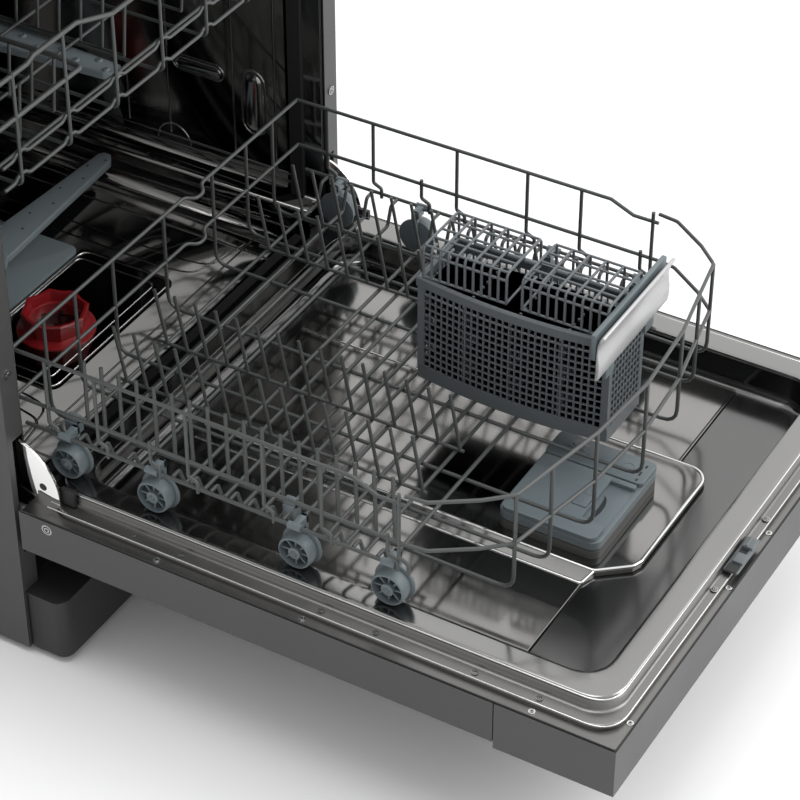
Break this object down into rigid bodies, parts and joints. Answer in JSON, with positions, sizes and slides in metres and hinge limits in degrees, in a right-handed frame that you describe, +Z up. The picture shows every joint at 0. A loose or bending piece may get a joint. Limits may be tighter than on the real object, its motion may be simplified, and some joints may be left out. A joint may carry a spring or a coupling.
{
  "type": "dishwasher",
  "caption": "Freestanding dishwasher with its front door open flat, the lower rack rolled out on the door, a cutlery basket with lid cages and the upper rack pushed in.",
  "frame": {"origin": "middle of the outline with the door open, on the floor under the levelling feet", "axes": "+Z up; +X to the machine's right side seen from behind; the door opens towards -Y and the back panel is at +Y"},
  "size_m": [0.598, 1.196, 0.85],
  "materials": {
    "outer_sheet": "dark grey satin lacquer",
    "console_moulding": "grey satin plastic",
    "worktop_board": "dark grey laminate on chipboard",
    "base_moulding": "black plastic",
    "reveal_lacquer": "black lacquer",
    "stainless": "polished stainless sheet",
    "polished_steel": "bright steel",
    "galvanised_sheet": "dull zinc coat",
    "black_rubber": "matt black",
    "pump_plastic": "black plastic",
    "tank_plastic": "pale plastic",
    "grey_plastic": "blue-grey plastic",
    "key_plastic": "silver plastic",
    "coated_wire": "dark grey coated steel wire",
    "handle_silver": "silver satin plastic",
    "red_plastic": "red plastic"
  },
  "bodies": {
    "cabinet": {"base_tray": "base_moulding", "kickplate": "outer_sheet", "levelling_feet": "base_moulding", "side_panel_left": "outer_sheet", "side_panel_right": "outer_sheet", "back_panel": "galvanised_sheet", "worktop": "worktop_board", "front_frame": "reveal_lacquer", "tub_wrap": "stainless", "tub_floor": "stainless", "door_gasket": "black_rubber", "upper_rack_rails": "stainless", "sump": "base_moulding", "filter_plate": "stainless", "circulation_pump": "pump_plastic", "drain_pump": "pump_plastic", "softener_tank": "tank_plastic", "inlet_valve": "tank_plastic", "feed_duct": "grey_plastic", "hinge_brackets": "galvanised_sheet", "cabinet_screws": "polished_steel", "latch_strike": "tank_plastic"},
    "door": {"door_outer_panel": "outer_sheet", "control_console": "console_moulding", "door_liner": "stainless", "door_latch": "grey_plastic", "door_lip_seal": "black_rubber", "door_ears": "polished_steel", "door_screws": "polished_steel", "dispenser_body": "grey_plastic"},
    "detergent_lid": {"dispenser_lid": "grey_plastic"},
    "lid_button": {"dispenser_button": "grey_plastic"},
    "rinse_aid_cap": {"rinse_cap": "grey_plastic"},
    "power_key": {"power_button": "key_plastic"},
    "program_key": {"program_button": "key_plastic"},
    "start_key": {"start_button": "key_plastic"},
    "lower_rack": {"lower_rack_floor": "coated_wire", "lower_rack_sides": "coated_wire", "lower_rack_ends": "coated_wire", "lower_rack_tines": "coated_wire", "rack_clips": "grey_plastic"},
    "fold_row": {"folding_tines": "coated_wire"},
    "cutlery_basket": {"basket_body": "grey_plastic", "basket_handle": "handle_silver"},
    "rear_lid": {"basket_lid_rear": "grey_plastic"},
    "front_lid": {"basket_lid_front": "grey_plastic"},
    "upper_rack": {"upper_rack_floor": "coated_wire", "upper_rack_walls": "coated_wire", "upper_feed_tube": "grey_plastic"},
    "upper_arm": {"upper_spray_arm": "grey_plastic"},
    "lower_arm": {"lower_spray_arm": "grey_plastic"},
    "strainer": {"filter_cup": "red_plastic"},
    "wheel_left_1": {"wheel_left_1": "grey_plastic"},
    "wheel_left_2": {"wheel_left_2": "grey_plastic"},
    "wheel_left_3": {"wheel_left_3": "grey_plastic"},
    "wheel_left_4": {"wheel_left_4": "grey_plastic"},
    "wheel_right_1": {"wheel_right_1": "grey_plastic"},
    "wheel_right_2": {"wheel_right_2": "grey_plastic"},
    "wheel_right_3": {"wheel_right_3": "grey_plastic"},
    "wheel_right_4": {"wheel_right_4": "grey_plastic"}
  },
  "joints": [
    {"name": "door_hinge", "type": "hinge", "parent": "cabinet", "child": "door", "pos_m": [0, 0.027, 0.1793], "axis": [-1, 0, 0], "range_deg": [0, 0.04]},
    {"name": "lower_rack_slide", "type": "slide", "parent": "cabinet", "child": "lower_rack", "axis": [0, -1, 0], "range_m": [-0.506, 0]},
    {"name": "upper_rack_slide", "type": "slide", "parent": "cabinet", "child": "upper_rack", "axis": [0, 1, 0], "range_m": [-0.38, 0]},
    {"name": "lower_arm_spin", "type": "hinge", "parent": "cabinet", "child": "lower_arm", "pos_m": [0, 0.308, 0.203], "axis": [0, 0, 1], "continuous": true},
    {"name": "upper_arm_spin", "type": "hinge", "parent": "upper_rack", "child": "upper_arm", "pos_m": [0, 0.308, 0.496], "axis": [0, 0, 1], "continuous": true},
    {"name": "basket_lift", "type": "slide", "parent": "lower_rack", "child": "cutlery_basket", "axis": [0, 0, 1], "range_m": [0, 0.16]},
    {"name": "rear_lid_hinge", "type": "hinge", "parent": "cutlery_basket", "child": "rear_lid", "pos_m": [0.0895, -0.2665, 0.36355], "axis": [0, 1, 0], "range_deg": [0, 95]},
    {"name": "front_lid_hinge", "type": "hinge", "parent": "cutlery_basket", "child": "front_lid", "pos_m": [0.0895, -0.3735, 0.36355], "axis": [0, 1, 0], "range_deg": [0, 95]},
    {"name": "detergent_lid_slide", "type": "slide", "parent": "door", "child": "detergent_lid", "axis": [-1, 0, 0], "range_m": [0, 0.045]},
    {"name": "lid_button_press", "type": "slide", "parent": "detergent_lid", "child": "lid_button", "axis": [0, 0, -1], "range_m": [0, 0.001], "stiffness_N_per_m": 300},
    {"name": "rinse_cap_turn", "type": "hinge", "parent": "door", "child": "rinse_aid_cap", "pos_m": [0.039, -0.384, 0.2], "axis": [0, 0, 1], "range_deg": [0, 90]},
    {"name": "power_key_press", "type": "slide", "parent": "door", "child": "power_key", "axis": [0, 0, 1], "range_m": [0, 0.0015], "stiffness_N_per_m": 300},
    {"name": "program_key_press", "type": "slide", "parent": "door", "child": "program_key", "axis": [0, 0, 1], "range_m": [0, 0.0015], "stiffness_N_per_m": 300},
    {"name": "start_key_press", "type": "slide", "parent": "door", "child": "start_key", "axis": [0, 0, 1], "range_m": [0, 0.0015], "stiffness_N_per_m": 300},
    {"name": "fold_row_hinge", "type": "hinge", "parent": "lower_rack", "child": "fold_row", "pos_m": [-0.222, -0.154, 0.25605], "axis": [0, 1, 0], "range_deg": [0, 65]},
    {"name": "strainer_turn", "type": "hinge", "parent": "cabinet", "child": "strainer", "pos_m": [-0.022, 0.198, 0.17], "axis": [0, 0, 1], "range_deg": [0, 30]},
    {"name": "left_wheel_1_spin", "type": "hinge", "parent": "lower_rack", "child": "wheel_left_1", "pos_m": [-0.2497, 0.012, 0.2283], "axis": [1, 0, 0], "continuous": true},
    {"name": "left_wheel_2_spin", "type": "hinge", "parent": "lower_rack", "child": "wheel_left_2", "pos_m": [-0.2497, -0.08702, 0.2283], "axis": [1, 0, 0], "continuous": true},
    {"name": "left_wheel_3_spin", "type": "hinge", "parent": "lower_rack", "child": "wheel_left_3", "pos_m": [-0.2497, -0.24398, 0.2283], "axis": [1, 0, 0], "continuous": true},
    {"name": "left_wheel_4_spin", "type": "hinge", "parent": "lower_rack", "child": "wheel_left_4", "pos_m": [-0.2497, -0.34301, 0.2283], "axis": [1, 0, 0], "continuous": true},
    {"name": "right_wheel_1_spin", "type": "hinge", "parent": "lower_rack", "child": "wheel_right_1", "pos_m": [0.2497, 0.012, 0.2283], "axis": [1, 0, 0], "continuous": true},
    {"name": "right_wheel_2_spin", "type": "hinge", "parent": "lower_rack", "child": "wheel_right_2", "pos_m": [0.2497, -0.08702, 0.2283], "axis": [1, 0, 0], "continuous": true},
    {"name": "right_wheel_3_spin", "type": "hinge", "parent": "lower_rack", "child": "wheel_right_3", "pos_m": [0.2497, -0.24398, 0.2283], "axis": [1, 0, 0], "continuous": true},
    {"name": "right_wheel_4_spin", "type": "hinge", "parent": "lower_rack", "child": "wheel_right_4", "pos_m": [0.2497, -0.34301, 0.2283], "axis": [1, 0, 0], "continuous": true}
  ],
  "couplings": [
    {"joint": "left_wheel_1_spin", "follows": "lower_rack_slide", "rad_per_m": 55.556},
    {"joint": "left_wheel_2_spin", "follows": "lower_rack_slide", "rad_per_m": 55.556},
    {"joint": "left_wheel_3_spin", "follows": "lower_rack_slide", "rad_per_m": 55.556},
    {"joint": "left_wheel_4_spin", "follows": "lower_rack_slide", "rad_per_m": 55.556},
    {"joint": "right_wheel_1_spin", "follows": "lower_rack_slide", "rad_per_m": 55.556},
    {"joint": "right_wheel_2_spin", "follows": "lower_rack_slide", "rad_per_m": 55.556},
    {"joint": "right_wheel_3_spin", "follows": "lower_rack_slide", "rad_per_m": 55.556},
    {"joint": "right_wheel_4_spin", "follows": "lower_rack_slide", "rad_per_m": 55.556}
  ]
}
